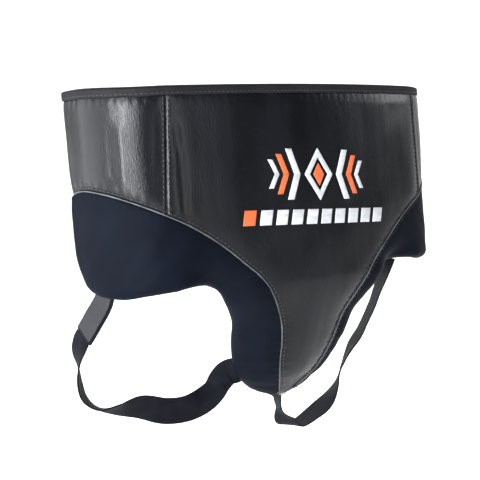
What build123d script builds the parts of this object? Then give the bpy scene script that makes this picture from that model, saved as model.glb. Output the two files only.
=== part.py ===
"""A boxer's no-foul groin protector: a padded half belt with a cup tongue, leg straps and a back closure.

Millimetres, +Z up. The origin is the middle of the waist opening, in the plane of the rim.
The wearer faces -Y, so the wearer's right hip is at -X. The body hangs below the rim.
Every wall of the body is an inset of one outer shape, so neighbouring layers share their faces.
"""

import os
from math import acos, asin, degrees, sqrt

from build123d import *

os.makedirs("parts", exist_ok=True)

# The body's outer shape
half_width = 198.0  # centre line to the outside of a hip
front_reach = 94.0  # waist centre to the outside of the belly
wing_end = 13.0  # how far the wings reach behind the waist centre
body_height = 178.0  # rim to the lower edge of the hips
front_radius = 700.0  # plan radius across the belly
hip_radius = 72.0  # plan radius round a hip
wing_corner = 50.0  # lower back corner of a wing, seen from the side

# Layers, from the outside in
cover_thickness = 1.4
foam_thickness = 13.6
lining_thickness = 1.2
cup_wall = 3.0
pad_thickness = 6.0
binding_thickness = 1.2
binding_height = 7.0

# Seams
hip_seam_in = 46.0  # the upright seam of a hip, from the outside of the hip
seam_rise_at_hip = 68.0  # where that seam meets the curved lower seam, above the hips' lower edge
piping_radius = 0.8

# The cup's rubber edge
gasket_width = 4.0

# Back belt
belt_height = 75.0
belt_top = 14.0
belt_thickness = 2.0
belt_rise = 36.0  # how far the slack belt bows out behind the wings
belt_start_in = 8.0  # where a belt half leaves its wing, from the outside of the hip
belt_gap = 2.5  # from a wing's end face to the middle of the webbing
belt_overlap = 64.0  # each half passes the centre line by this much
tab_fold_x = -10.0  # where the closing tab starts to peel
tape_thickness = 1.3
tape_margin = 6.0
fold_gap = 0.6

# Leg straps
strap_width = 25.0
strap_thickness = 1.8
strap_tab_width = 28.0
strap_tab_thickness = 2.2
hook_thickness = 1.2
patch_width = 46.0
patch_height = 78.0
patch_low = 166.0  # depth of the patch's lower edge below the rim
patch_back = 9.0  # how far the patch reaches behind the waist centre
patch_thickness = 1.3
anchor_length = 18.0
anchor_x = 30.0  # middle of a sewn anchor, from the centre line
anchor_drop = 88.0  # and below the hips' lower edge
hook_margin = 2.0  # the hook tape is narrower than its tab on each side
clearance = 0.4  # between bodies that move apart
tab_gap = 1.8  # from a tab's hook face to its loop patch

# Insets of each layer's inner face
foam_inset = cover_thickness + foam_thickness
body_inset = foam_inset + lining_thickness
cup_inset = foam_inset + cup_wall
pad_inset = cup_inset + pad_thickness
pocket_inset = pad_inset + lining_thickness
reach = 400.0  # larger than the object, for cutting tools
sides = {"right": -1, "left": 1}
hip_seam_x = half_width - hip_seam_in
belt_start = half_width - belt_start_in
tab_x = half_width - body_inset - patch_thickness - hook_thickness - strap_tab_thickness / 2 - tab_gap

# The tongue's outer plan at each level: how far below the hips' lower edge, half width, how far
# its front stands behind the belly and its back behind the belly's foam, front radius, corner radius
tongue_sections = [
    (0.0, 97.0, 0.0, 19.0, front_radius, 25.0),
    (32.0, 72.0, 11.0, 37.0, 220.0, 26.0),
    (62.0, 60.5, 24.0, 56.0, 150.0, 26.0),
    (90.0, 47.0, 41.0, 69.0, 95.0, 24.0),
    (118.0, 25.0, 67.0, 73.0, 58.0, 17.5),
]

# The plan of the tongue over the cup, in the same terms: the cup is this, inset by cover and foam
cup_sections = [
    (-66.0, 70.0, 0.0, 19.0, front_radius, pocket_inset + 1.3),
    (0.0, 80.0, 0.0, 19.5, front_radius, pocket_inset + 2.8),
    (32.0, 72.0, 11.0, 37.5, 220.0, pocket_inset + 7.8),
    (62.0, 60.5, 24.0, 56.5, 150.0, pocket_inset + 6.8),
    (98.0, 43.0, 47.0, 73.0, 86.0, pocket_inset + 3.8),
]

# Curved lower seam, seen from the front: distance from the centre line and drop below the hips' lower edge
front_seam = [(108.0, -40.0), (69.0, -7.0), (40.0, 36.0), (30.0, 74.0), (14.0, 110.0), (9.0, 122.0)]
# and seen from the side: share of the way from the upright seam to behind the wing, and the same drop
side_seam = [(0.15, -79.0), (0.42, -90.0), (0.73, -94.0), (1.0, -84.0)]
seam_overrun = 7.0  # how far that seam is drawn past the wing's end

# Leg strap routes, top to bottom to tongue: point and the direction of the webbing's width
right_tab_route = [
    ((-tab_x, -9, -134), (0.0, -0.98, -0.20)),
    ((-tab_x, -4, -158), (0.0, -0.97, -0.25)),
    ((-tab_x - 0.2, 2, -180), (0.0, -0.94, -0.34)),
    ((-tab_x - 7.6, 13, -200), (0.0, -0.90, -0.43)),
    ((-tab_x - 13.1, 23, -215), (0.0, -0.94, -0.34)),
]
right_strap_route = [
    ((-193.0, 24, -226), (0.0, -0.98, -0.20)),
    ((-195.5, 25, -241), (-0.45, -0.88, 0.0)),
    ((-195.5, 25, -256), (-0.60, -0.80, 0.0)),
    ((-192.0, 24, -270), (-0.60, -0.80, 0.0)),
    ((-180.0, 22, -281), (-0.50, -0.85, 0.15)),
    ((-162.0, 20, -285), (-0.35, -0.80, 0.50)),
    ((-138.0, 17, -287), (-0.15, -0.40, 0.90)),
    ((-114.0, 14, -295), (0.00, -0.05, 1.00)),
    ((-92.0, 12, -297), (0.05, 0.05, 1.00)),
    ((-74.0, 10, -293), (0.15, 0.30, 0.90)),
    ((-60.0, 8, -285), (0.30, 0.50, 0.80)),
    ((-52.0, 7, -276), (0.20, 0.40, 0.90)),
    ((-45.0, 4, -269), (0.00, 0.30, 1.00)),
]
left_tab_route = [
    ((tab_x, -9, -98), (0.0, -1.00, -0.08)),
    ((tab_x, -7, -124), (0.0, -1.00, -0.08)),
    ((tab_x, -5, -150), (0.0, -1.00, -0.08)),
    ((tab_x, -3, -174), (0.0, -1.00, -0.08)),
]
left_strap_route = [
    ((176.0, -2, -181), (0.0, -1.00, 0.0)),
    ((170.0, -2, -196), (-0.30, -0.95, 0.0)),
    ((161.0, -1, -212), (0.55, 0.80, 0.25)),
    ((150.0, -1, -229), (0.62, 0.70, 0.35)),
    ((135.0, 0, -249), (0.70, 0.50, 0.50)),
    ((118.0, 1, -268), (0.72, 0.40, 0.55)),
    ((104.0, 1, -286), (0.75, 0.45, 0.45)),
    ((94.0, 2, -304), (0.70, 0.65, 0.30)),
    ((77.0, 2, -320), (0.50, 0.80, 0.40)),
    ((57.0, 3, -330), (0.30, 0.92, 0.20)),
    ((38.0, 4, -336), (0.00, 1.00, 0.00)),
    ((25.0, 4, -330), (-0.40, 0.90, 0.00)),
    ((18.5, 5, -317), (0.40, 0.90, 0.00)),
    ((18.5, 7, -304), (0.40, 0.90, 0.00)),
    ((25.0, 10, -291), (0.40, 0.60, 0.60)),
    ((34.0, 9, -280), (0.20, 0.40, 0.90)),
    ((43.0, 5, -271), (0.00, 0.30, 1.00)),
]

def write(builder, name):
    """Label a finished piece and write it to its own file."""
    builder.part.label = name
    export_step(builder.part, f"parts/{name}.step")


def arch(half, front, back, round_front, round_corner, inset):
    """Draw a flat-fronted arch: two sides, two corners and one shallow front, closed along its back."""
    corner_x = half - round_corner
    centre_y = front + round_front
    corner_y = centre_y - sqrt((round_front - round_corner) ** 2 - corner_x**2)
    turn = degrees(asin(corner_x / (round_front - round_corner)))
    wide = half - inset
    front_r = round_front - inset
    corner_r = round_corner - inset
    Line((-wide, back), (-wide, corner_y))
    CenterArc((-corner_x, corner_y), corner_r, 180, 90 - turn)
    CenterArc((0, centre_y), front_r, 270 - turn, 2 * turn)
    CenterArc((corner_x, corner_y), corner_r, 270 + turn, 90 - turn)
    Line((wide, corner_y), (wide, back))
    Line((wide, back), (-wide, back))


def belt_solid(inset, low, high):
    """The straight-walled hip belt, filled in to its open back, between two heights."""
    with BuildPart(mode=Mode.PRIVATE) as solid:
        with BuildSketch(Plane.XY.offset(low)):
            with BuildLine():
                arch(half_width, -front_reach, wing_end, front_radius, hip_radius, inset)
            make_face()
        extrude(amount=high - low)
    return solid.part


def stack_solid(sections, inset):
    """A stack of arches joined from each level to the next, filled in to its back."""
    with BuildPart(mode=Mode.PRIVATE) as solid:
        for upper, lower in zip(sections, sections[1:]):
            for drop, half, front, back, round_front, round_corner in (lower, upper):
                with BuildSketch(Plane.XY.offset(-body_height - drop)):
                    with BuildLine():
                        back_y = back + foam_inset - front_reach
                        arch(half, front - front_reach, back_y, round_front, round_corner, inset)
                    make_face()
            loft(ruled=True)
    return solid.part


def below_seam(side):
    """Everything under the curved lower seam on one side of the body."""
    with BuildPart(mode=Mode.PRIVATE) as tool:
        with BuildSketch(Plane.XZ.offset(-wing_end - 1)):
            with BuildLine():
                joint = (side * hip_seam_x, seam_rise_at_hip - body_height)
                curve = [joint] + [(side * x, -body_height - drop) for x, drop in front_seam]
                run = Spline(*curve)
                Polyline(run @ 1, (0, curve[-1][1]), (0, -reach), (joint[0], -reach), joint)
            make_face()
        extrude(amount=reach)
        with BuildSketch(Plane.YZ.offset(side * hip_seam_x)):
            with BuildLine():
                joint = (-hip_seam_y, seam_rise_at_hip - body_height)
                run_back = hip_seam_y + wing_end + seam_overrun
                curve = [joint]
                for share, drop in side_seam:
                    curve.append((share * run_back - hip_seam_y, -body_height - drop))
                run = Spline(*curve)
                Polyline(run @ 1, (curve[-1][0], -reach), (-reach, -reach), (-reach, joint[1]), joint)
            make_face()
        extrude(amount=side * reach)
    return tool.part


def wing_outline():
    """The belt's outline seen from the side: straight wing ends with a large lower back corner."""
    with BuildPart(mode=Mode.PRIVATE) as tool:
        with BuildSketch(Plane.YZ):
            with BuildLine():
                low_front = (-reach, -body_height)
                low_back = (wing_end, -body_height)
                corners = [(-reach, reach), low_front, low_back, (wing_end, reach)]
                FilletPolyline(*corners, radius=wing_corner, close=True)
            make_face()
        extrude(amount=reach, both=True)
    return tool.part


def ribbon(route, width, thickness, shift=0.0):
    """Flat webbing through a list of points, each with the direction of its width there."""
    with BuildPart(mode=Mode.PRIVATE) as band:
        planes = []
        for index, (point, across) in enumerate(route):
            before = Vector(*route[max(index - 1, 0)][0])
            after = Vector(*route[min(index + 1, len(route) - 1)][0])
            along = (after - before).normalized()
            wide = Vector(*across)
            wide = (wide - along * wide.dot(along)).normalized()
            planes.append(Plane(Vector(*point), x_dir=wide, z_dir=along))
        for start, end in zip(planes, planes[1:]):
            for plane in (start, end):
                with BuildSketch(plane):
                    with Locations((0, shift)):
                        Rectangle(width, thickness)
            loft(ruled=True)
    return band.part


def cup_stack(inset):
    """The hollow of the cup at one layer, with its floor raised as far as its walls are inset."""
    floor = -body_height - cup_sections[-1][0] + inset - foam_inset
    with BuildPart(mode=Mode.PRIVATE) as solid:
        add(stack_solid(cup_sections, inset))
        split(bisect_by=Plane.XY.offset(floor), keep=Keep.TOP)
    return solid.part


def back_strip(middle, shift, thickness, x_from, x_to, low, high):
    """A strip along a belt half's arc, shifted outwards, from one side of the centre line to another."""
    centre = middle.arc_center
    radius = middle.radius + shift
    first = degrees(acos((x_to - centre.X) / radius))
    last = degrees(acos((x_from - centre.X) / radius))
    with BuildPart(mode=Mode.PRIVATE) as strip:
        with BuildSketch(Plane.XY.offset(low)):
            with BuildLine():
                CenterArc(centre, radius, first, last - first)
            trace(line_width=thickness)
        extrude(amount=high - low)
    return strip.part


# Where the upright seam stands on the outer shape
hip_corner_x = half_width - hip_radius
front_centre_y = front_radius - front_reach
hip_corner_y = front_centre_y - sqrt((front_radius - hip_radius) ** 2 - hip_corner_x**2)
hip_seam_y = sqrt(hip_radius**2 - (hip_seam_x - hip_corner_x) ** 2) - hip_corner_y

belt_outline = wing_outline()
lower_cut = {name: below_seam(side) for name, side in sides.items()}
with BuildPart(mode=Mode.PRIVATE) as belly_box:
    Box(2 * hip_seam_x, reach, 2 * reach, align=(Align.CENTER, Align.MAX, Align.CENTER))
belly_zone = belly_box.part

# The cover: one skin over the belt and the tongue, which the seams divide
with BuildPart() as cover_skin:
    add(belt_solid(0, -body_height, 0))
    add(belt_solid(cover_thickness, -body_height, 0), mode=Mode.SUBTRACT)
    add(belt_outline, mode=Mode.INTERSECT)
    add(stack_solid(tongue_sections, 0))
    add(stack_solid(tongue_sections, cover_thickness), mode=Mode.SUBTRACT)
cover = cover_skin.part

with BuildPart() as front_panel:
    add(cover)
    add(belly_zone, mode=Mode.INTERSECT)
    add(list(lower_cut.values()), mode=Mode.SUBTRACT)
write(front_panel, "front_panel")

for name, side in sides.items():
    with BuildPart() as hip_panel:
        add(cover)
        split(bisect_by=Plane.YZ.offset(side * hip_seam_x), keep=Keep.TOP if side > 0 else Keep.BOTTOM)
        add(lower_cut[name], mode=Mode.SUBTRACT)
    write(hip_panel, f"hip_panel_{name}")

    with BuildPart() as lower_panel:
        add(cover)
        add(lower_cut[name], mode=Mode.INTERSECT)
    write(lower_panel, f"lower_panel_{name}")

# Foam: one piece for belly and tongue, hollowed for the cup, and one in each hip
belt_foam_outer = belt_solid(cover_thickness, -body_height, 0)
belt_foam_inner = belt_solid(foam_inset, -body_height, 0)
cup_hollow = cup_stack(foam_inset)

with BuildPart() as front_foam:
    add(belt_foam_outer)
    add(belt_foam_inner, mode=Mode.SUBTRACT)
    add(belly_zone, mode=Mode.INTERSECT)
    add(stack_solid(tongue_sections, cover_thickness))
    add(cup_hollow, mode=Mode.SUBTRACT)
write(front_foam, "front_foam")

for name, side in sides.items():
    with BuildPart() as hip_foam:
        add(belt_foam_outer)
        add(belt_foam_inner, mode=Mode.SUBTRACT)
        add(belt_outline, mode=Mode.INTERSECT)
        split(bisect_by=Plane.YZ.offset(side * hip_seam_x), keep=Keep.TOP if side > 0 else Keep.BOTTOM)
    write(hip_foam, f"hip_foam_{name}")

# The cup, its rubber edge, the pad inside it and the pad's cloth
cup_cavity = cup_stack(cup_inset)
pad_cavity = cup_stack(pad_inset)
wearer_space = cup_stack(pocket_inset)
edge_sections = [(drop, half, front, back - gasket_width, *radii)
                 for drop, half, front, back, *radii in cup_sections]
with BuildPart() as cup_reach:
    add(stack_solid(edge_sections, foam_inset))
    split(bisect_by=Plane.XY.offset(-body_height - cup_sections[0][0] - gasket_width), keep=Keep.BOTTOM)

with BuildPart() as groin_cup:
    add(cup_hollow)
    add(cup_cavity, mode=Mode.SUBTRACT)
    add(cup_reach.part, mode=Mode.INTERSECT)
write(groin_cup, "groin_cup")

with BuildPart() as cup_edge:
    add(cup_hollow)
    add(cup_cavity, mode=Mode.SUBTRACT)
    add(cup_reach.part, mode=Mode.SUBTRACT)
write(cup_edge, "cup_edge_rubber")

with BuildPart() as cup_pad:
    add(cup_cavity)
    add(pad_cavity, mode=Mode.SUBTRACT)
write(cup_pad, "cup_pad")

with BuildPart() as cup_lining:
    add(pad_cavity)
    add(wearer_space, mode=Mode.SUBTRACT)
write(cup_lining, "cup_lining")

# Lining on the wearer's side, with a hole cut right through where the cup pocket stands
hole_sections = [(drop, half, front - cover_thickness, back, *radii)
                 for drop, half, front, back, *radii in cup_sections]
pocket_hole = stack_solid(hole_sections, foam_inset)
with BuildPart() as lining_skin:
    add(belt_foam_inner)
    add(belt_solid(body_inset, -body_height, 0), mode=Mode.SUBTRACT)
    add(belt_outline, mode=Mode.INTERSECT)

with BuildPart() as front_lining:
    add(lining_skin.part)
    add(belly_zone, mode=Mode.INTERSECT)
    add(pocket_hole, mode=Mode.SUBTRACT)
write(front_lining, "front_lining")

for name, side in sides.items():
    with BuildPart() as hip_lining:
        add(lining_skin.part)
        split(bisect_by=Plane.YZ.offset(side * hip_seam_x), keep=Keep.TOP if side > 0 else Keep.BOTTOM)
    write(hip_lining, f"hip_lining_{name}")

# Binding folded over the rim
with BuildPart() as waist_binding:
    add(belt_solid(-binding_thickness, -binding_height, binding_thickness))
    add(belt_solid(body_inset + binding_thickness, -binding_height, binding_thickness), mode=Mode.SUBTRACT)
    with BuildPart(mode=Mode.PRIVATE) as bound:
        add(belt_solid(0, -binding_height, 0))
        add(belt_solid(body_inset, -binding_height, 0), mode=Mode.SUBTRACT)
    add(bound.part, mode=Mode.SUBTRACT)
write(waist_binding, "waist_binding")

# Thin piping laid in each lower seam, proud of the cover
for name, side in sides.items():
    with BuildPart() as seam_piping:
        add(belt_solid(-piping_radius, -body_height, 0))
        add(belt_outline, mode=Mode.INTERSECT)
        add(stack_solid(tongue_sections, -piping_radius))
        with BuildPart(mode=Mode.PRIVATE) as cover_envelope:
            add(belt_solid(0, -body_height, 0))
            add(stack_solid(tongue_sections, 0))
        add(cover_envelope.part, mode=Mode.SUBTRACT)
        add(lower_cut[name], mode=Mode.INTERSECT)
        add(lower_cut[name].moved(Location((0, 0, -2 * piping_radius))), mode=Mode.SUBTRACT)
    write(seam_piping, f"seam_piping_{name}")

# Back belt: the right half lies inside with a loop face, the left half closes over it
belt_y = wing_end + belt_gap
belt_spacing = belt_thickness + 2 * tape_thickness + clearance
right_middle = ThreePointArc((belt_start, belt_y), (0, belt_y + belt_rise), (-belt_start, belt_y),
                             mode=Mode.PRIVATE)
overlap_y = right_middle.arc_center.Y + sqrt(right_middle.radius**2 - belt_overlap**2) + belt_spacing
left_middle = ThreePointArc((belt_start, belt_y), (belt_overlap, overlap_y), (-belt_overlap, overlap_y),
                            mode=Mode.PRIVATE)
belt_low = -belt_top - belt_height
tape_low = belt_low + tape_margin
tape_high = -belt_top - tape_margin
tape_shift = (belt_thickness + tape_thickness) / 2
tab_edge = tab_fold_x - fold_gap

with BuildPart() as belt_right:
    add(back_strip(right_middle, 0, belt_thickness, -belt_start, belt_overlap, belt_low, -belt_top))
write(belt_right, "belt_right")

with BuildPart() as closure_loop:
    loop_to = belt_overlap - tape_margin
    add(back_strip(right_middle, tape_shift, tape_thickness, -belt_overlap, loop_to, tape_low, tape_high))
write(closure_loop, "closure_loop_tape")

with BuildPart() as belt_left:
    add(back_strip(left_middle, 0, belt_thickness, tab_fold_x, belt_start, belt_low, -belt_top))
write(belt_left, "belt_left")

with BuildPart() as closure_tab:
    add(back_strip(left_middle, 0, belt_thickness, -belt_overlap, tab_edge, belt_low, -belt_top))
write(closure_tab, "closure_tab")

hook_from = -belt_overlap + tape_margin
hook_to = tab_edge - tape_margin
with BuildPart() as closure_hook:
    add(back_strip(left_middle, -tape_shift, tape_thickness, hook_from, hook_to, tape_low, tape_high))
write(closure_hook, "closure_hook_tape")

# Loop patches sewn on the lining inside each wing
for name, side in sides.items():
    with BuildPart() as loop_patch:
        add(belt_solid(body_inset, -patch_low, patch_height - patch_low))
        add(belt_solid(body_inset + patch_thickness, -patch_low, patch_height - patch_low), mode=Mode.SUBTRACT)
        add(belt_outline, mode=Mode.INTERSECT)
        with Locations((side * half_width, patch_back, -patch_low)):
            Box(half_width, patch_width, 2 * patch_height, align=(Align.CENTER, Align.MAX, Align.CENTER),
                mode=Mode.INTERSECT)
    write(loop_patch, f"strap_loop_patch_{name}")

# Leg straps: the tab with its hook face, the webbing, and the end sewn to the back of the tongue
routes = {"right": (right_tab_route, right_strap_route), "left": (left_tab_route, left_strap_route)}
hook_shift = (strap_tab_thickness + hook_thickness) / 2
upper, lower = tongue_sections[2], tongue_sections[3]
slope = (lower[3] - upper[3]) / (lower[0] - upper[0])
anchor_y = upper[3] + foam_inset - front_reach + slope * (anchor_drop - upper[0])
for name, side in sides.items():
    tab_route, strap_route = routes[name]
    with BuildPart() as strap_tab:
        add(ribbon(tab_route, strap_tab_width, strap_tab_thickness))
    write(strap_tab, f"strap_tab_{name}")

    with BuildPart() as strap_hook:
        add(ribbon(tab_route, strap_tab_width - 2 * hook_margin, hook_thickness, -side * hook_shift))
    write(strap_hook, f"strap_hook_tape_{name}")

    with BuildPart() as leg_strap:
        add(ribbon(strap_route, strap_width, strap_thickness))
    write(leg_strap, f"leg_strap_{name}")

    anchor_z = -body_height - anchor_drop
    tongue_back = Plane((side * anchor_x, anchor_y, anchor_z), x_dir=(1, 0, 0), z_dir=(0, 1, slope))
    with BuildPart() as strap_anchor:
        with BuildSketch(tongue_back.offset(clearance)):
            Rectangle(anchor_length, strap_width)
        extrude(amount=strap_thickness)
    write(strap_anchor, f"strap_anchor_{name}")
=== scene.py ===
"""Looks of a boxer's groin protector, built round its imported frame.

Shapes are worked out in millimetres on the body's own map: s runs round the body from the middle
of the belly, and z runs down from the rim. Every vertex is then placed in metres.
"""

from math import asin, cos, exp, hypot, pi, radians, sin, sqrt

import bmesh
import bpy
from mathutils import Matrix, Vector


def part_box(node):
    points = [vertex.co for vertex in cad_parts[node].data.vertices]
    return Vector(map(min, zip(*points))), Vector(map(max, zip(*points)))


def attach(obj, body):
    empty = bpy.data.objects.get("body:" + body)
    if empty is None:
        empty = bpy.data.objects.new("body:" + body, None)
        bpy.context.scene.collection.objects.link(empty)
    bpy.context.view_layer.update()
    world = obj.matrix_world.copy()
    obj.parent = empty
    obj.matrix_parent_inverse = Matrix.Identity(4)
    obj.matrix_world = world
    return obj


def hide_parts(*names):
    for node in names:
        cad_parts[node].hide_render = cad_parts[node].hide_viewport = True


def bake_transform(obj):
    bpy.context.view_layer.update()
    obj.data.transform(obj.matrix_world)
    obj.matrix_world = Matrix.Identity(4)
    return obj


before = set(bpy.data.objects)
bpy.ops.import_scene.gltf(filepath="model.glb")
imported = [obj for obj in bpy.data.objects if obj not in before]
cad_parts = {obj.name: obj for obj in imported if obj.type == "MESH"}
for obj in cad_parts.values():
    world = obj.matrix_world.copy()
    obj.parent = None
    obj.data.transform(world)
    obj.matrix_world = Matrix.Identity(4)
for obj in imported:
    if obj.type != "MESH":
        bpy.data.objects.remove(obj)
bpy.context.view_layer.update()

MM = 0.001
RIGHT, LEFT = -1, 1
SIDES = {"right": RIGHT, "left": LEFT}


def size_of(node, corner, axis):
    """One coordinate of a node's box, in millimetres."""
    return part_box(node)[corner][axis] / MM


# The body's outer shape, as the frame has it
HALF_WIDTH = size_of("lower_panel_left", 1, 0)
FRONT_Y = size_of("front_panel", 0, 1)
WING_END = size_of("hip_foam_left", 1, 1)
BODY_LOW = size_of("hip_foam_left", 0, 2)
TIP_LOW = size_of("front_foam", 0, 2)
FRONT_RADIUS = 700.0
HIP_RADIUS = 72.0
WALL = 16.2  # cover, foam and lining together
COVER = 1.4
HIP_SEAM = 150.0  # where the upright seams stand, round the body
HIP_SEAM_SLANT = 7.0  # how much further round their lower ends are
SEAM_MEETS = -109.0  # height where an upright seam meets the lower seam
WING_LIFT = 4.5  # how far the rim rises towards the end of a wing

# The tongue's plan at each height: half width, front, back, front radius, corner radius
TONGUE = [
    (-178.0, (97.0, -94.0, -60.0, 700.0, 25.0)),
    (-210.0, (72.0, -83.0, -42.0, 220.0, 26.0)),
    (-240.0, (60.5, -70.0, -23.0, 150.0, 26.0)),
    (-268.0, (47.0, -53.0, -10.0, 95.0, 24.0)),
    (-296.0, (25.0, -27.0, -6.0, 58.0, 17.5)),
]


def ease(t):
    """A smooth step from 0 to 1."""
    t = min(1.0, max(0.0, t))
    return t * t * (3 - 2 * t)


def mix(a, b, t):
    return a + (b - a) * t


def smooth_run(points, t):
    """A smooth curve through points of any dimension, with t from 0 to 1 over all of them."""
    last = len(points) - 1
    at = min(last - 1e-9, max(0.0, t * last))
    i = int(at)
    f = at - i
    before, here = points[max(i - 1, 0)], points[i]
    there, after = points[i + 1], points[min(i + 2, last)]
    out = []
    for p0, p1, p2, p3 in zip(before, here, there, after):
        out.append(0.5 * (2 * p1 + (p2 - p0) * f + (2 * p0 - 5 * p1 + 4 * p2 - p3) * f * f
                          + (3 * p1 - p0 - 3 * p2 + p3) * f**3))
    return out


def table_row(table, z):
    """A table's values at a height, smoothed between its rows."""
    if z >= table[0][0]:
        return table[0][1]
    for i in range(len(table) - 1):
        if z >= table[i + 1][0] or i == len(table) - 2:
            f = (table[i][0] - z) / (table[i][0] - table[i + 1][0])
            return smooth_run([row[1] for row in table], (i + min(f, 1.0)) / (len(table) - 1))
    return table[-1][1]


def arch_lengths(half, round_front, round_corner):
    """How long the front arc and a corner arc of an arch are, and the front arc's half angle."""
    turn = asin((half - round_corner) / (round_front - round_corner))
    return round_front * turn, round_corner * (pi / 2 - turn), turn


def arch_at(s, half, front, round_front, round_corner):
    """The plan point a distance s round an arch from its middle: shallow front, corner, straight side."""
    front_run, corner_run, turn = arch_lengths(half, round_front, round_corner)
    corner_x = half - round_corner
    centre_y = front + round_front
    corner_y = centre_y - (round_front - round_corner) * cos(turn)
    run = abs(s)
    if run <= front_run:
        angle = run / round_front
        x, y = round_front * sin(angle), centre_y - round_front * cos(angle)
    elif run <= front_run + corner_run:
        angle = turn + (run - front_run) / round_corner
        x, y = corner_x + round_corner * sin(angle), corner_y - round_corner * cos(angle)
    else:
        x, y = half, corner_y + run - front_run - corner_run
    return (x if s > 0 else -x), y


def edge_run(z):
    """How far round the tongue its back edge is, at a height."""
    half, front, back, round_front, round_corner = table_row(TONGUE, z)
    front_run, corner_run, turn = arch_lengths(half, round_front, round_corner)
    corner_y = front + round_front - (round_front - round_corner) * cos(turn)
    return front_run + corner_run + back - corner_y


def outer(s, z):
    """A point of the outer shape: the wide belt above, turning into the narrow tongue below."""
    wide = arch_at(s, HALF_WIDTH, FRONT_Y, FRONT_RADIUS, HIP_RADIUS)
    half, front, back, round_front, round_corner = table_row(TONGUE, z)
    narrow = arch_at(s, half, front, round_front, round_corner)
    near_hip = ease((abs(s) - 105) / 45) * (1 - ease((BODY_LOW - z) / 20))
    w = ease((-148 - z) / 38) * (1 - near_hip)
    lift = WING_LIFT * ease((abs(s) - 165) / 95) * min(1.0, max(0.0, 1 + z / 85))
    return Vector((mix(wide[0], narrow[0], w), mix(wide[1], narrow[1], w), z + lift))


def body_point(s, z, out=0.0):
    """A point of the body's map in metres, out millimetres proud of the outer shape."""
    step = 0.4
    round_way = outer(s + step, z) - outer(s - step, z)
    up_way = outer(s, z + step) - outer(s, z - step)
    return (outer(s, z) + round_way.cross(up_way).normalized() * out) * MM


def body_normal(s, z):
    return (body_point(s, z, 1.0) - body_point(s, z)).normalized()


BELT_RUN = sum(arch_lengths(HALF_WIDTH, FRONT_RADIUS, HIP_RADIUS)[:2]) + WING_END + 9.2

# The lower seam and the edge under it, from a wing's end to the tip: round the body, and height
SEAM_END = -288.5
LOWER_SEAM = [(BELT_RUN - 8, -86), (246, -84), (230, -84), (206, -89), (181, -98), (157, -109), (132, -122),
              (108, -138), (86, -156), (68, -172), (51, -195), (39, -216), (33.5, -236), (29.5, -253), (23, -269),
              (14.5, -282), (10, SEAM_END)]
LOWER_EDGE = [(BELT_RUN, -87.5), (BELT_RUN, -110), (BELT_RUN - 1, -134), (BELT_RUN - 7.5, -154), (239, -171.5),
              (206, -177.5), (178, -175.5), (152, -173.5), (132, -173.5), (119.5, -178), (edge_run(-194), -194),
              (edge_run(-214), -214), (edge_run(-234), -234), (edge_run(-252), -252), (edge_run(-268), -268),
              (edge_run(-282) - 5, -284), (12, TIP_LOW)]
MEET_SHARE = 5 / (len(LOWER_SEAM) - 1)  # where along the lower seam an upright seam meets it
ROLL = 8.0  # how much of the face turns in at the edge
TOP_EDGE = -1.0  # height of the covers' and linings' top edges, inside the binding


def seam_at(t):
    return smooth_run(LOWER_SEAM, t)


def edge_at(t):
    return smooth_run(LOWER_EDGE, t)


def seam_height(s):
    """Height of the lower seam above or below which a hip's covers lie."""
    lo, hi = 0.0, MEET_SHARE
    for _ in range(24):
        middle = (lo + hi) / 2
        if seam_at(middle)[0] > s:
            lo = middle
        else:
            hi = middle
    return seam_at(lo)[1]


def seam_run(z):
    """How far round the body the front cover reaches at a height."""
    if z > SEAM_MEETS:
        return HIP_SEAM + HIP_SEAM_SLANT * z / SEAM_MEETS
    lo, hi = MEET_SHARE, 1.0
    for _ in range(24):
        middle = (lo + hi) / 2
        if seam_at(middle)[1] > z:
            lo = middle
        else:
            hi = middle
    return seam_at(lo)[0]


def edge_out(t):
    """The way off the edge in the body's map, square to the edge."""
    a, b = edge_at(max(0.0, t - 0.01)), edge_at(min(1.0, t + 0.01))
    along = Vector((b[0] - a[0], b[1] - a[1])).normalized()
    return Vector((-along.y, along.x))


def face_edge(t):
    """Where the flat of the face stops and the turned edge starts."""
    at, out = edge_at(t), edge_out(t)
    return at[0] - ROLL * out.x, at[1] - ROLL * out.y


def face_low(s):
    """The lowest height of the face's flat at a distance round the body."""
    s = abs(s)
    if s <= face_edge(1.0)[0]:
        return face_edge(1.0)[1]
    lo, hi = 0.06, 1.0
    for _ in range(22):
        middle = (lo + hi) / 2
        if face_edge(middle)[0] > s:
            lo = middle
        else:
            hi = middle
    return face_edge(lo)[1]


def rolled(s, z, way, turn, more=0.0):
    """A point on the turned edge: from the flat at (s, z), round by an angle, towards the wearer."""
    s += way.x * (ROLL * sin(turn) - more)
    z += way.y * (ROLL * sin(turn) - more)
    deep = WALL / 2 + 0.3
    return s, z, deep * (cos(turn) - 1)


# Mesh and material helpers

def near_noise(x, y, z=0.0):
    """A smooth repeatable wobble between about -1 and 1."""
    return (sin(1.7 * x + 0.9 * y + 1.3) + sin(-1.1 * x + 2.3 * y + 4.1 * z + 0.4)
            + sin(2.9 * x - 1.3 * z + 2.2)) / 3


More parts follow.
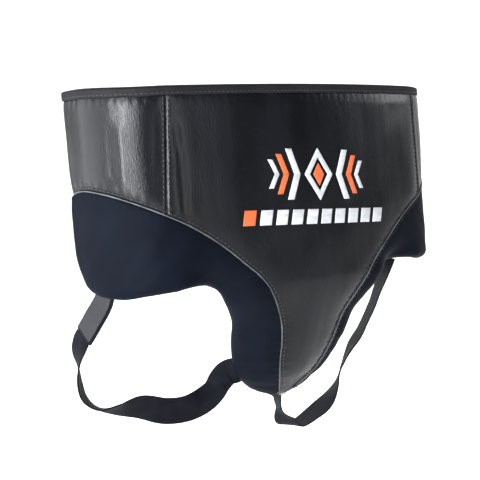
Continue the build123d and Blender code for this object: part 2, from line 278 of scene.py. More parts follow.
def finish_piece(bm, name, material, facing=None, stands_for=(), body="root", thick=0.0, bend=None):
    """Turn a finished bmesh into a piece: normals out, material, wall, body and stand-in."""
    bm.normal_update()
    if facing is not None:
        votes = sum(1 if face.normal.dot(facing(face.calc_center_median())) > 0 else -1 for face in bm.faces)
        if votes < 0:
            bmesh.ops.reverse_faces(bm, faces=bm.faces)
    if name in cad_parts:
        name += "_made"
    mesh = bpy.data.meshes.new(name)
    for face in bm.faces:
        face.smooth = True
    bm.to_mesh(mesh)
    bm.free()
    piece = bpy.data.objects.new(name, mesh)
    bpy.context.collection.objects.link(piece)
    mesh.materials.append(material)
    if thick:
        wall = piece.modifiers.new("Wall", "SOLIDIFY")
        wall.thickness = thick * MM
        wall.offset = -1
    if bend:
        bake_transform(piece)
    else:
        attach(piece, body)
    if stands_for:
        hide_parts(*stands_for)
    return piece


def mapped_grid(across, down, place, uv=None):
    """A grid from the operator, with each vertex placed by its two shares, 0 to 1."""
    bm = bmesh.new()
    bmesh.ops.create_grid(bm, x_segments=across, y_segments=down, size=0.5)
    shares = {v: (v.co.x + 0.5, v.co.y + 0.5) for v in bm.verts}
    layer = bm.loops.layers.uv.new("UVMap")
    for face in bm.faces:
        for loop in face.loops:
            u, v = shares[loop.vert]
            loop[layer].uv = uv(u, v) if uv else (u, v)
    for vert, (u, v) in shares.items():
        vert.co = place(u, v)
    return bm


def off_axis(point):
    """Roughly away from the middle of the body."""
    return Vector((point.x, point.y - 0.02, 0.0))


def band(route, wide, thick, steps, corners=20, end_round=0.0, closed=False, shape=0.35):
    """A flat band or a round tube along a route of (point, width direction), closed at its ends.

    Its UV map is in metres: along the band, then across it.
    """
    points = [tuple(p) + tuple(w) for p, w in route]

    def at(t):
        values = smooth_run(points, t)
        return Vector(values[:3]), Vector(values[3:])

    samples = [at(i / steps) for i in range(steps + 1)]
    lengths = [0.0]
    for a, b in zip(samples, samples[1:]):
        lengths.append(lengths[-1] + (b[0] - a[0]).length)

    def section(v):
        angle = 2 * pi * v
        c, s = round(cos(angle), 9), round(sin(angle), 9)
        across = abs(c) ** shape * (1 if c > 0 else -1) * wide / 2
        up = abs(s) ** shape * (1 if s > 0 else -1) * thick / 2
        return across, up

    def place(u, v):
        i = round(u * steps)
        point, width = samples[i]
        if closed:
            before, after = samples[(i - 1) % steps][0], samples[(i + 1) % steps][0]
        else:
            before, after = samples[max(i - 1, 0)][0], samples[min(i + 1, steps)][0]
        along = (after - before).normalized()
        width = (width - along * width.dot(along)).normalized()
        up = along.cross(width)
        a, b = section(v)
        shrink = 1.0
        if not closed:
            if i in (0, steps):
                shrink = 0.0
            elif end_round:
                near = min(lengths[i], lengths[-1] - lengths[i])
                if near < end_round:
                    shrink = sqrt(max(0.02, 1 - (1 - near / end_round) ** 2))
        return (point + width * a * shrink + up * b * (shrink if shrink == 0 else 1)) * MM

    def uv(u, v):
        return lengths[round(u * steps)] * MM, section(v)[0] * MM

    bm = mapped_grid(steps, corners, place, uv)
    bmesh.ops.remove_doubles(bm, verts=bm.verts, dist=1e-6)
    bmesh.ops.recalc_face_normals(bm, faces=bm.faces)
    return bm, lengths[-1]


def tube(points, radius, steps, corners=8, closed=False):
    """A round tube along a list of points in millimetres."""
    route = []
    for i, point in enumerate(points):
        if closed:
            before, after = points[(i - 1) % len(points)], points[(i + 1) % len(points)]
        else:
            before, after = points[max(i - 1, 0)], points[min(i + 1, len(points) - 1)]
        along = (Vector(after) - Vector(before)).normalized()
        side = along.cross(Vector((0.3, 0.2, 0.93)))
        route.append((point, side.normalized() if side.length > 0.01 else Vector((1, 0, 0))))
    if closed:
        route.append(route[0])
    return band(route, 2 * radius, 2 * radius, steps, corners, closed=closed, shape=1.0)[0]


def stitches(name, rows, long=3.3, gap=1.1, wide=0.75, high=0.5, body="root", bend=None):
    """Rows of raised stitches. A row is a list of (point, normal) in metres, taken along the seam."""
    bm = bmesh.new()
    for row in rows:
        run = 0.0
        due = long / 2 * MM
        for (a, na), (b, nb) in zip(row, row[1:]):
            piece_run = (b - a).length
            while due <= run + piece_run and piece_run > 0:
                f = (due - run) / piece_run
                along = (b - a).normalized()
                normal = na.lerp(nb, f)
                normal = (normal - along * normal.dot(along)).normalized()
                turn = Matrix((along, normal.cross(along), normal)).transposed().to_4x4()
                scale = Matrix.Diagonal((long / 2 * MM, wide / 2 * MM, high / 2 * MM, 1))
                bmesh.ops.create_uvsphere(bm, u_segments=6, v_segments=4, radius=1,
                                          matrix=Matrix.Translation(a.lerp(b, f)) @ turn @ scale)
                due += (long + gap) * MM
            run += piece_run
    return finish_piece(bm, name, THREAD, body=body, bend=bend)


def node_material(name):
    material = bpy.data.materials.new(name)
    material.use_nodes = True
    nodes = material.node_tree.nodes
    shader = nodes["Principled BSDF"]
    return material, nodes, material.node_tree.links, shader


def coloured(name, dark, light, colour_scale, rough, rough_swing, bump_scale, bump, stretch=(1, 1, 1),
             coat=0.0, coat_rough=0.2, sheen=0.0, metal=0.0, specular=0.5, weave=None):
    """A finish with its own colour change, roughness change and grain, all read in object space."""
    material, nodes, links, shader = node_material(name)
    where = nodes.new("ShaderNodeTexCoord")
    mapping = nodes.new("ShaderNodeMapping")
    mapping.inputs["Scale"].default_value = stretch
    links.new(where.outputs["Object"], mapping.inputs["Vector"])
    cloud = nodes.new("ShaderNodeTexNoise")
    cloud.inputs["Scale"].default_value = colour_scale
    cloud.inputs["Detail"].default_value = 4.0
    links.new(mapping.outputs["Vector"], cloud.inputs["Vector"])
    ramp = nodes.new("ShaderNodeValToRGB")
    ramp.color_ramp.elements[0].position = 0.35
    ramp.color_ramp.elements[0].color = (*dark, 1)
    ramp.color_ramp.elements[1].position = 0.68
    ramp.color_ramp.elements[1].color = (*light, 1)
    links.new(cloud.outputs["Fac"], ramp.inputs["Fac"])
    links.new(ramp.outputs["Color"], shader.inputs["Base Color"])
    patchy = nodes.new("ShaderNodeMapRange")
    patchy.inputs["To Min"].default_value = rough - rough_swing
    patchy.inputs["To Max"].default_value = rough + rough_swing
    links.new(cloud.outputs["Fac"], patchy.inputs["Value"])
    links.new(patchy.outputs["Result"], shader.inputs["Roughness"])
    grain = nodes.new("ShaderNodeTexNoise")
    grain.inputs["Scale"].default_value = bump_scale
    grain.inputs["Detail"].default_value = 3.0
    links.new(mapping.outputs["Vector"], grain.inputs["Vector"])
    height = grain.outputs["Fac"]
    if weave:
        pitch, direction = weave
        rows = []
        for wave_direction in direction:
            wave = nodes.new("ShaderNodeTexWave")
            wave.bands_direction = wave_direction
            wave.inputs["Scale"].default_value = pitch
            wave.inputs["Distortion"].default_value = 0.4
            links.new(where.outputs["UV" if "UV" in name else "Object"], wave.inputs["Vector"])
            rows.append(wave.outputs["Fac"])
        height = rows[0]
        for other in rows[1:]:
            join = nodes.new("ShaderNodeMath")
            join.operation = "MULTIPLY"
            links.new(height, join.inputs[0])
            links.new(other, join.inputs[1])
            height = join.outputs["Value"]
    bumps = nodes.new("ShaderNodeBump")
    bumps.inputs["Strength"].default_value = bump
    bumps.inputs["Distance"].default_value = 0.0006
    links.new(height, bumps.inputs["Height"])
    links.new(bumps.outputs["Normal"], shader.inputs["Normal"])
    shader.inputs["Metallic"].default_value = metal
    shader.inputs["Specular IOR Level"].default_value = specular
    if coat:
        shader.inputs["Coat Weight"].default_value = coat
        shader.inputs["Coat Roughness"].default_value = coat_rough
    if sheen:
        shader.inputs["Sheen Weight"].default_value = sheen
        shader.inputs["Sheen Roughness"].default_value = 0.5
    return material


LEATHER = coloured("black_leather", (0.0015, 0.0018, 0.0024), (0.0035, 0.004, 0.0055), 26, 0.27, 0.05, 900, 0.36,
                   stretch=(1, 1, 0.25), specular=0.13, coat=0.04, coat_rough=0.14)
LOWER_CLOTH = coloured("lower_leather", (0.0014, 0.0022, 0.0046), (0.0024, 0.0036, 0.007), 30, 0.62, 0.07, 700,
                       0.35, specular=0.03)
BINDING = coloured("rim_binding", (0.0025, 0.0025, 0.003), (0.005, 0.005, 0.006), 60, 0.72, 0.06, 900, 0.3,
                   specular=0.15)
PIPING = coloured("seam_piping", (0.021, 0.0228, 0.0252), (0.066, 0.069, 0.075), 60, 0.5, 0.08, 900, 0.2, specular=0.3)
THREAD = coloured("black_thread", (0.012, 0.012, 0.014), (0.03, 0.03, 0.034), 200, 0.55, 0.08, 2500, 0.3,
                  specular=0.3)
FOAM = coloured("grey_foam", (0.06, 0.06, 0.065), (0.10, 0.10, 0.11), 90, 0.9, 0.05, 1500, 0.6)
LINING = coloured("inner_lining", (0.004, 0.004, 0.005), (0.009, 0.009, 0.011), 45, 0.8, 0.06, 1200, 0.5,
                  specular=0.2, sheen=0.04, weave=(260, "XZ"))
CUP_SHELL = coloured("cup_plastic", (0.010, 0.010, 0.011), (0.018, 0.018, 0.02), 40, 0.42, 0.06, 300, 0.1)
CUP_RUBBER = coloured("cup_edge_rubber", (0.008, 0.008, 0.009), (0.014, 0.014, 0.016), 80, 0.7, 0.06, 700, 0.2,
                      specular=0.3)
WEBBING = coloured("strap_webbing_UV", (0.0018, 0.0022, 0.004), (0.0045, 0.005, 0.008), 70, 0.66, 0.08, 900, 0.7,
                   specular=0.07, weave=(420, "XY"))
ELASTIC = coloured("belt_elastic_UV", (0.003, 0.0032, 0.005), (0.007, 0.0075, 0.011), 60, 0.6, 0.07, 900, 0.9,
                   specular=0.25, weave=(105, "Y"))
LOOP_TAPE = coloured("loop_pile", (0.006, 0.006, 0.008), (0.018, 0.018, 0.022), 420, 0.92, 0.05, 1900, 0.9,
                     specular=0.15, sheen=0.08)
HOOK_TAPE = coloured("hook_face", (0.002, 0.0025, 0.004), (0.006, 0.0065, 0.009), 500, 0.6, 0.08, 1600, 0.9,
                     specular=0.3)
SILVER = coloured("silver_embroidery", (0.3844, 0.3906, 0.4092), (0.496, 0.5022, 0.5208), 90, 0.42, 0.08, 900, 0.5,
                  stretch=(1, 1, 4), metal=0.2, weave=(340, "Z"))
ORANGE = coloured("orange_embroidery", (0.4464, 0.054, 0.0072), (0.6336, 0.108, 0.0216), 240, 0.5, 0.08, 900, 0.5,
                  stretch=(1, 1, 4), weave=(340, "Z"))


# Covers

PUFF = 2.0
SEWN_SPREAD = 6.5  # how far in from a seam a cover has risen most of its way
PUCKER, PUCKER_PITCH = 0.28, 8.6
UPRIGHT_LOW = 0.15  # how low a cover lies at an upright seam, as a share of the lower seam's


def seam_dip(distance, along, low=1.0):
    """How far a padded cover stands proud, a distance in from a sewn edge that lies low."""
    rise = (PUFF - 1.0 + low) * (1 - exp(-max(distance, 0) / SEWN_SPREAD)) - low
    pucker = PUCKER * low * exp(-((max(distance, 0) - 4) / 4.0) ** 2)
    return rise + pucker * sin(2 * pi * along / PUCKER_PITCH)


def upright_low(z):
    """How low a cover lies at an upright seam, from where it meets the lower seam upwards."""
    return mix(1.0, UPRIGHT_LOW, ease((z - SEAM_MEETS) / 14))


def front_proud(s, z):
    """How far the belly's cover stands proud of the outer shape."""
    to_side = (seam_run(z) - abs(s)) * (0.96 if z > SEAM_MEETS else 0.72)
    to_rim = -6.0 - z
    proud = min(seam_dip(to_side, z, upright_low(z)), seam_dip(to_rim, s) + 0.4)
    crease = exp(-((s + 141 + 3 * ease((z + 70) / 40)) / 2.4) ** 2) * ease((-22 - z) / 14)
    proud -= 1.4 * crease * (1 if s < 0 else 0.6)
    inner = ease(to_side / 20) * ease(to_rim / 20)
    return proud + inner * (0.38 * near_noise(s * 0.045, z * 0.05) + 0.10 * near_noise(s * 0.16, z * 0.06, 2.0))


def front_point(s, z, more=0.0):
    return body_point(s, z, front_proud(s, z) + more)


# Shares of a cover's rows: where its stretches end, or how much of it one takes
FRONT_SPLIT, FRONT_TURN = 0.42, 0.95
HIP_FLAT, HIP_TURN = 0.86, 0.14
LOWER_FLAT, LOWER_TURN, LOWER_TUCKED, LOWER_TUCK = 0.62, 0.30, 0.92, 0.08


def front_place(u, v):
    """Belly cover: rows run from the rim to where the seams meet, on to the tip, then round it."""
    side = 2 * u - 1
    if v <= FRONT_SPLIT:
        z = mix(TOP_EDGE, SEAM_MEETS, v / FRONT_SPLIT)
        return front_point(side * seam_run(z), z)
    if v <= FRONT_TURN:
        z = mix(SEAM_MEETS, SEAM_END, (v - FRONT_SPLIT) / (FRONT_TURN - FRONT_SPLIT))
        return front_point(side * seam_run(z), z)
    turn = pi * (v - FRONT_TURN) / (1 - FRONT_TURN)
    s, z, out = rolled(side * seam_run(SEAM_END), SEAM_END, Vector((0, -1)), turn)
    return body_point(s, z, out + front_proud(side * seam_run(SEAM_END), SEAM_END) * (1 - turn / pi))


finish_piece(mapped_grid(96, 120, front_place), "front_panel", LEATHER, off_axis,
             ["front_panel"], thick=COVER)

for name, side in SIDES.items():
    def hip_place(u, v, side=side):
        flat = min(1.0, u / HIP_FLAT)
        turn = pi * max(0.0, (u - HIP_FLAT) / HIP_TURN)
        start = HIP_SEAM + HIP_SEAM_SLANT * v
        s = mix(start, BELT_RUN - ROLL + 4.5 * (1 - v), flat)
        low = seam_height(s) if s > HIP_SEAM + HIP_SEAM_SLANT else SEAM_MEETS
        z = mix(TOP_EDGE, low, v)
        to_edge = min(s - start, (z - low) * 0.95)
        beside = s - start < (z - low) * 0.95
        proud = seam_dip(to_edge, z, upright_low(z)) if beside else seam_dip(to_edge, s)
        proud = min(proud, seam_dip(-6 - z, s) + 0.4)
        inner = ease(to_edge / 18) * ease((-6 - z) / 18) * (1 - turn / pi)
        proud += inner * (0.45 * near_noise(s * 0.05, z * 0.05, 1.0) + 0.12 * near_noise(s * 0.15, z * 0.05))
        fold = ease((-22 - z) / 22) * ease((z + 92) / 22) * inner
        proud += fold * (0.8 * exp(-((s - 192) / 4.5) ** 2) - 0.6 * exp(-((s - 201) / 5.0) ** 2))
        proud -= 0.5 * exp(-((s - start - 9) / 3.5) ** 2) * ease((-12 - z) / 20) * (1 - turn / pi)
        round_s, z, deep = rolled(s, z, Vector((1, 0)), turn)
        return body_point(side * round_s, z, deep + proud * (1 - turn / pi))

    finish_piece(mapped_grid(64, 44, hip_place), f"hip_panel_{name}", LEATHER, off_axis,
                 [f"hip_panel_{name}"], thick=COVER)

    def lower_place(u, v, side=side):
        top = seam_at(u)
        low = face_edge(u)
        flat = min(1.0, v / LOWER_FLAT)
        turn = pi * min(1.0, max(0.0, (v - LOWER_FLAT) / LOWER_TURN))
        tuck = max(0.0, (v - LOWER_TUCKED) / LOWER_TUCK) * 4.0
        s, z = mix(top[0], low[0], flat), mix(top[1], low[1], flat)
        down = hypot(low[0] - top[0], low[1] - top[1])
        proud = seam_dip(flat * down, u * 340) - 0.3
        inner = ease(flat * down / 14) * (1 - turn / pi)
        proud += inner * (0.45 * near_noise(s * 0.07, z * 0.05, 3.0) + 0.35 * near_noise(u * 45, flat * 1.2))
        s, z, deep = rolled(s, z, edge_out(u), turn, tuck)
        return body_point(side * s, z, deep + proud * (1 - turn / pi))

    finish_piece(mapped_grid(190, 40, lower_place), f"lower_panel_{name}", LOWER_CLOTH, None,
                 [f"lower_panel_{name}"], thick=COVER)


# Seams: piping along the lower seams, and the stitch rows

LOWER_STITCH, UPRIGHT_STITCH, EDGE_STITCH = 3.0, 2.6, 5.5  # how far the rows stand from their seams


def seam_row(side, shift, out, count=150):
    """Points along a lower seam, shifted across it in the body's map."""
    row = []
    for i in range(count + 1):
        t = i / count
        s, z = seam_at(t)
        a, b = seam_at(max(0, t - 0.01)), seam_at(min(1, t + 0.01))
        along = Vector((b[0] - a[0], b[1] - a[1])).normalized()
        s, z = s - along.y * shift, z + along.x * shift
        row.append((body_point(side * s, z, out), body_normal(side * s, z)))
    return row


def upright_row(side, shift, out):
    row = []
    for i in range(41):
        z = mix(-8, SEAM_MEETS + 2, i / 40)
        s = side * (seam_run(z) + shift)
        row.append((body_point(s, z, out), body_normal(s, z)))
    return row


for name, side in SIDES.items():
    path = [point / MM for point, _ in seam_row(side, 0.0, 0.0, 60)]
    finish_piece(tube(path, 0.75, 260, 10), f"seam_piping_{name}", PIPING, None, [f"seam_piping_{name}"])
    stitches(f"lower_seam_stitches_{name}",
             [seam_row(side, -LOWER_STITCH, 0.45), seam_row(side, LOWER_STITCH, 0.15)])
    stitches(f"upright_seam_stitches_{name}",
             [upright_row(side, -UPRIGHT_STITCH, 0.3), upright_row(side, UPRIGHT_STITCH, 0.3)])
    edge_row = []
    for i in range(140):
        t = mix(0.02, 0.99, i / 139)
        at, way = edge_at(t), edge_out(t)
        s, z = side * (at[0] - EDGE_STITCH * way.x), at[1] - EDGE_STITCH * way.y
        edge_row.append((body_point(s, z, -WALL - 1.0), -body_normal(s, z)))
    stitches(f"edge_stitches_{name}", [edge_row])


# Binding folded over the rim

BINDING_DEEP, BINDING_OUT = 7.5, 1.15


def binding_place(u, v):
    """The binding: up the outside, over the rim, down the wearer's side."""
    s = mix(-BELT_RUN + 1.0, BELT_RUN - 1.0, u)
    low = BINDING_DEEP + 0.35 * near_noise(s * 0.09, 1.0)
    path = v * 4
    wobble = 0.18 * near_noise(s * 0.21, v * 3)
    if path <= 1.5:
        z, out = mix(-low, TOP_EDGE, path / 1.5), BINDING_OUT - 0.5 * (1 - ease(path * 3))
    elif path <= 2.5:
        angle = pi * (path - 1.5)
        z = TOP_EDGE + 2.7 * sin(angle)
        out = mix(BINDING_OUT, -WALL - BINDING_OUT, (1 - cos(angle)) / 2)
    else:
        z, out = mix(TOP_EDGE, -low, (path - 2.5) / 1.5), -WALL - BINDING_OUT
    return body_point(s, z, out + wobble)


finish_piece(mapped_grid(220, 32, binding_place), "waist_binding", BINDING, None, ["waist_binding"],
             thick=1.1)
rim_rows = []
for out_side, face_way in ((1.25, 1), (-WALL - 1.35, -1)):
    rim_rows.append([(body_point(s, -5.4, out_side), body_normal(s, -5.4) * face_way)
                     for s in [mix(-BELT_RUN + 3, BELT_RUN - 3, i / 200) for i in range(201)]])
stitches("binding_stitches", rim_rows)


# Foam inside the covers

FOAM_OUT, FOAM_THICK = -1.9, 12.6
FOAM_TOP = -1.5


def foam_slab(name, place, across, down):
    piece = finish_piece(mapped_grid(across, down, place), name, FOAM, off_axis, [name], thick=FOAM_THICK)


def front_foam_place(u, v):
    s = mix(-HIP_SEAM, HIP_SEAM, u)
    return body_point(s, mix(FOAM_TOP, face_low(s) + 1.0, v), FOAM_OUT)


foam_slab("front_foam", front_foam_place, 90, 70)
for name, side in SIDES.items():
    def hip_foam_place(u, v, side=side):
        s = mix(HIP_SEAM + 1, BELT_RUN - ROLL - 1, u)
        return body_point(side * s, mix(FOAM_TOP, face_low(s) + 1.0, v), FOAM_OUT)

    foam_slab(f"hip_foam_{name}", hip_foam_place, 30, 44)


# The wearer's side: lining, cup pocket and the cup's rubber edge

CUP = [
    (-112.0, (70.0, -94.0, -60.0, 700.0, 26.5)),
    (-178.0, (80.0, -94.0, -59.5, 700.0, 28.0)),
    (-210.0, (72.0, -83.0, -41.5, 220.0, 33.0)),
    (-240.0, (60.5, -70.0, -22.5, 150.0, 32.0)),
    (-276.0, (43.0, -47.0, -6.0, 86.0, 29.0)),
]
CUP_INSET = 15.0
CUP_TOP, CUP_FLOOR = -112.0, -276.0
CUP_EDGE_INSET = CUP_INSET + 1.5
PAD_FACE = 24.0
FLOOR_ROUND = 18  # how high the pocket's rounded floor is


def cup_row(z):
    """The cup's plan at a height, with straight steps between rows as the cup itself has."""
    for (high, upper), (low, lower) in zip(CUP, CUP[1:]):
        if z >= low or low == CUP_FLOOR:
            f = min(1.0, max(0.0, (high - z) / (high - low)))
            return [mix(a, b, f) for a, b in zip(upper, lower)]
    return CUP[-1][1]


def cup_point(u, z, inset):
    """A point of the cup's layers: u from -1 to 1 round the plan, at a height, inset from the outside."""
    half, front, back, round_front, round_corner = cup_row(z)
    front_run, corner_run, turn = arch_lengths(half, round_front, round_corner)
    corner_y = front + round_front - (round_front - round_corner) * cos(turn)
    total = front_run + corner_run + back - corner_y
    s = u * total
    step = 0.2
    x, y = arch_at(s, half, front, round_front, round_corner)
    ahead, behind = (arch_at(s + d, half, front, round_front, round_corner) for d in (step, -step))
    along = Vector((ahead[0] - behind[0], ahead[1] - behind[1])).normalized()
    return Vector((x - along.y * inset, y + along.x * inset, z))


def towards_wearer(point):
    return Vector((-point.x, 0.06 - point.y, 0.0))


def bowl_place(inset, flange, top, floor, puff):
    """The pocket's bowl at one layer, with an edge turned out over the layers under it."""
    def place(u, v):
        side = 2 * u - 1
        edge = min(ease((1 - abs(side)) / 0.05), ease(v / 0.04)) if flange else 1.0
        deep = mix(flange, inset, edge) if flange else inset
        wall = min(1.0, max(0.0, (v - 0.04) / 0.7))
        round_floor = max(0.0, (v - 0.74) / 0.26) * pi / 2
        z = mix(top, floor + FLOOR_ROUND, wall) - FLOOR_ROUND * sin(round_floor)
        point = cup_point(side, z, deep)
        shrink = cos(round_floor)
        back = cup_row(z)[2]
        point.x *= shrink
        point.y = mix(back, point.y, shrink)
        soft = puff * ease(wall * 6) * shrink * ease((1 - abs(side)) / 0.2)
        lift = soft * (1 + 0.35 * near_noise(point.x * 0.09, z * 0.08))
        inward = Vector((-point.x, 0.4 * (back + 40 - point.y), 0)).normalized()
        return (point + inward * lift) * MM
    return place


cup_pad = finish_piece(mapped_grid(70, 60, bowl_place(PAD_FACE, None, CUP_TOP, -268.0, 0.0)), "cup_pad", FOAM,
                       towards_wearer, ["cup_pad"], thick=5.4)
finish_piece(mapped_grid(84, 70, bowl_place(PAD_FACE + 1.0, 18.6, CUP_TOP - 0.2, -267.0, 0.8)), "cup_lining", LINING,
             towards_wearer, ["cup_lining"], thick=0.8)

edge_path = []
for i in range(13):
    edge_path.append(cup_point(-1, mix(CUP_TOP - 2, CUP_FLOOR + 6, i / 12), CUP_EDGE_INSET))
for i in range(1, 8):
    end = edge_path[12]
    edge_path.append(Vector((mix(end.x, -end.x, i / 8), end.y + 0.6, CUP_FLOOR + 1.5 + 4 * abs(i / 4 - 1) ** 3)))
for i in range(13):
    edge_path.append(cup_point(1, mix(CUP_FLOOR + 6, CUP_TOP - 2, i / 12), CUP_EDGE_INSET))
for i in range(1, 16):
    edge_path.append(cup_point(mix(1, -1, i / 16), CUP_TOP - 1.6, CUP_EDGE_INSET))
finish_piece(tube(edge_path, 2.3, 240, 10, closed=True), "cup_edge_rubber", CUP_RUBBER, None,
             ["cup_edge_rubber"])


def lining_out(s, z):
    """The lining's place in the wall: it drops behind the cup where the pocket stands."""
    behind_cup = ease((66 + 6 - abs(s)) / 6) * ease((CUP_TOP + 4 - z) / 6)
    return mix(-WALL, -CUP_INSET + 0.3, behind_cup)


LINING_SEAM = HIP_SEAM + 3
LINING_THICK = 0.7


def lining_place(first, last):
    def place(u, v):
        s = mix(first, last, u)
        z = mix(TOP_EDGE, face_low(s) - 1.0, v)
        soft = 0.5 * near_noise(s * 0.05, z * 0.05, 5.0) * ease(u * 12) * ease((1 - u) * 12) * ease((1 - v) * 10)
        return body_point(s, z, lining_out(s, z) - abs(soft))
    return place


finish_piece(mapped_grid(110, 76, lining_place(-LINING_SEAM, LINING_SEAM)), "front_lining", LINING,
             towards_wearer, ["front_lining"], thick=LINING_THICK)
hip_end = BELT_RUN - ROLL + 1
for name, side in SIDES.items():
    finish_piece(mapped_grid(44, 52, lining_place(side * LINING_SEAM, side * hip_end)), f"hip_lining_{name}",
                 LINING, towards_wearer, [f"hip_lining_{name}"], thick=LINING_THICK)
    ridge = []
    for i in range(50):
        z = mix(-8, face_low(LINING_SEAM) + 2, i / 49)
        ridge.append(body_point(side * LINING_SEAM, z, -WALL - LINING_THICK) / MM)
    finish_piece(tube(ridge, 1.0, 90, 8), f"lining_seam_{name}", LINING)
    inner_rows = []
    for shift in (-3, 3):
        s = side * (LINING_SEAM + shift)
        heights = [mix(-9, -160, i / 60) for i in range(61)]
        inner_rows.append([(body_point(s, z, -WALL - 0.3), -body_normal(s, z)) for z in heights])
    stitches(f"lining_stitches_{name}", inner_rows)


def tip_back_place(u, v):
    """The lining that closes the tongue's back below the cup."""
    z = mix(-270.0, TIP_LOW + 3.5, v)
    half, _, back, _, _ = table_row(TONGUE, z)
    x = mix(-1, 1, u) * (half - 7.0 - 9 * ease((v - 0.7) / 0.3))
    dish = 1.5 * (1 - (2 * u - 1) ** 2) * (1 - v * 0.6)
    return Vector((x, back - 3.0 - dish - 6 * ease((v - 0.75) / 0.25), z)) * MM


finish_piece(mapped_grid(30, 20, tip_back_place), "tongue_back_lining", LINING, lambda p: Vector((0, 1, 0)),
             thick=0.8)


# Back belt and its closure

BELT_MIDDLE, BELT_WIDE, BELT_THICK = -51.5, 75.0, 2.0
BELT_STITCH = 33.5  # how far the stitch rows are from a belt's middle
TAPE_WIDE, TAPE_THICK, TAPE_OUT = 63.0, 1.3, 1.65
ARCS = {"right": (-467.889, 519.389), "left": (-397.977, 455.042)}


def arc_route(which, from_x, to_x, shift=0.0, count=14):
    centre, radius = ARCS[which]
    radius += shift
    route = []
    for i in range(count + 1):
        x = mix(from_x, to_x, i / count)
        route.append(((x, centre + sqrt(radius**2 - x * x), BELT_MIDDLE), (0, 0, 1)))
    return route


def flat_band(name, route, wide, thick, steps, material, body="root", bend=None, stands_for=(),
              end_round=0.0):
    """A band of webbing, elastic or tape as a piece, and its length in metres."""
    bm, length = band(route, wide, thick, steps, 28, end_round, shape=0.16)
    piece = finish_piece(bm, name, material, None, stands_for, body, bend=bend)
    return piece, length * MM


def box_rows(route, wide, margin, lift, cross=True):
    """Stitch rows for a sewn box with a cross, on the face of a flat band."""
    points = [tuple(p) + tuple(w) for p, w in route]

    def spot(t, across):
        values = smooth_run(points, t)
        ahead = smooth_run(points, min(1.0, t + 0.02))
        behind = smooth_run(points, max(0.0, t - 0.02))
        along = (Vector(ahead[:3]) - Vector(behind[:3])).normalized()
        width = Vector(values[3:])
        width = (width - along * width.dot(along)).normalized()
        up = along.cross(width) * (1 if lift > 0 else -1)
        return (Vector(values[:3]) + width * across + up * abs(lift)) * MM, up

    half = wide / 2 - margin
    lines = [((0.06, -half), (0.94, -half)), ((0.06, half), (0.94, half)), ((0.06, -half), (0.06, half)),
             ((0.94, -half), (0.94, half))]
    if cross:
        lines += [((0.06, -half), (0.94, half)), ((0.06, half), (0.94, -half))]
    rows = []
    for (t0, a0), (t1, a1) in lines:
        rows.append([spot(mix(t0, t1, i / 16), mix(a0, a1, i / 16)) for i in range(17)])
    return rows


belt_ends = {"right": -190.0, "left": 190.0}
belt_reach = {"right": 64.0, "left": -10.0}
for name, side in SIDES.items():
    x = belt_ends[name]
    route = [((x, 2.0, BELT_MIDDLE), (0, 0, 1)), ((x, 9.0, BELT_MIDDLE), (0, 0, 1))]
    route += arc_route(name, x - side * 0.5, belt_reach[name])
    bend = ("root", f"belt_{name}", (x * MM, 0.008, 0), (x * MM, 0.026, 0))
    belt, belt_length = flat_band(f"belt_{name}", route, BELT_WIDE, BELT_THICK, 150, ELASTIC, bend=bend,
                                  stands_for=[f"belt_{name}"])
    edge_rows = []
    for height in (BELT_MIDDLE - BELT_STITCH, BELT_MIDDLE + BELT_STITCH):
        centre, radius = ARCS[name]
        edge_rows.append([])
        for i in range(81):
            along_x = mix(x - side * 1.0, 60.0 if side < 0 else -6.0, i / 80)
            point = Vector((along_x, centre + sqrt((radius + 1.05) ** 2 - along_x**2), height))
            edge_rows[-1].append((point * MM, Vector((along_x, point.y - centre, 0)).normalized()))
    stitches(f"belt_stitches_{name}", edge_rows, bend=bend)

loop_route = arc_route("right", -64.0, 58.0, TAPE_OUT)
flat_band("closure_loop_tape", loop_route, TAPE_WIDE, TAPE_THICK, 70, LOOP_TAPE, "belt_right", None,
          ["closure_loop_tape"])
tab_route = arc_route("left", -5.0, -64.0)
tab_bend = ("belt_left", "closure_tab", (-0.0070, 0.0579, 0), (-0.0140, 0.0579, 0))
flat_band("closure_tab", tab_route, BELT_WIDE, BELT_THICK + 0.3, 60, LEATHER, bend=tab_bend,
          stands_for=["closure_tab"], end_round=9.0)
stitches("closure_tab_stitches", box_rows(arc_route("left", -16.0, -61.0), BELT_WIDE, 4.0, -1.25, False),
         body="closure_tab")
hook_tape_route = arc_route("left", -16.6, -58.0, -TAPE_OUT)
flat_band("closure_hook_tape", hook_tape_route, TAPE_WIDE, TAPE_THICK, 40, HOOK_TAPE, "closure_tab", None,
          ["closure_hook_tape"])

for name, side in SIDES.items():
    def patch_place(u, v, side=side):
        s = mix(212.0, 252.5, u)
        z = mix(-89.0, max(-164.0, face_low(s) + 2.5), v)
        edge = min(u, 1 - u, v, 1 - v)
        return body_point(side * s, z, -WALL - 0.35 - 0.9 * ease(edge * 22))

    finish_piece(mapped_grid(40, 56, patch_place), f"strap_loop_patch_{name}", LOOP_TAPE, towards_wearer,
                 [f"strap_loop_patch_{name}"], thick=0.4)


# Leg straps: tab, hook face, webbing and the end sewn to the tongue

